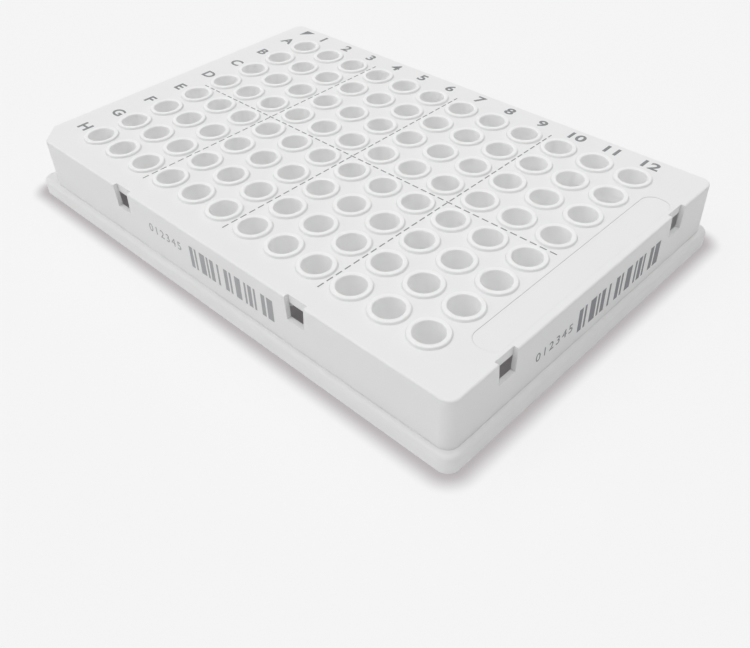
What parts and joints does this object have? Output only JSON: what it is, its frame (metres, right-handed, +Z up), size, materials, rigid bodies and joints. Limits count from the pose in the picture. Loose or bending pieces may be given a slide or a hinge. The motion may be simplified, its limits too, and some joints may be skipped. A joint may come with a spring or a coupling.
{
  "type": "well plate",
  "caption": "Skirted laboratory well plate: a rigid rectangular tray with a grid of raised-rim tapered wells, a hollow stepped skirt and grip windows at the deck's edge.",
  "frame": {"origin": "middle of the base, on the plane the plate stands on", "axes": "+X along the rows from column 1 to column 12, +Y from row H to row A, +Z up out of the wells"},
  "size_m": [0.1278, 0.0854, 0.0155],
  "materials": {
    "plate": "white moulded polypropylene with a fine satin surface"
  },
  "bodies": {
    "root": {"plate": "plate"}
  },
  "joints": []
}
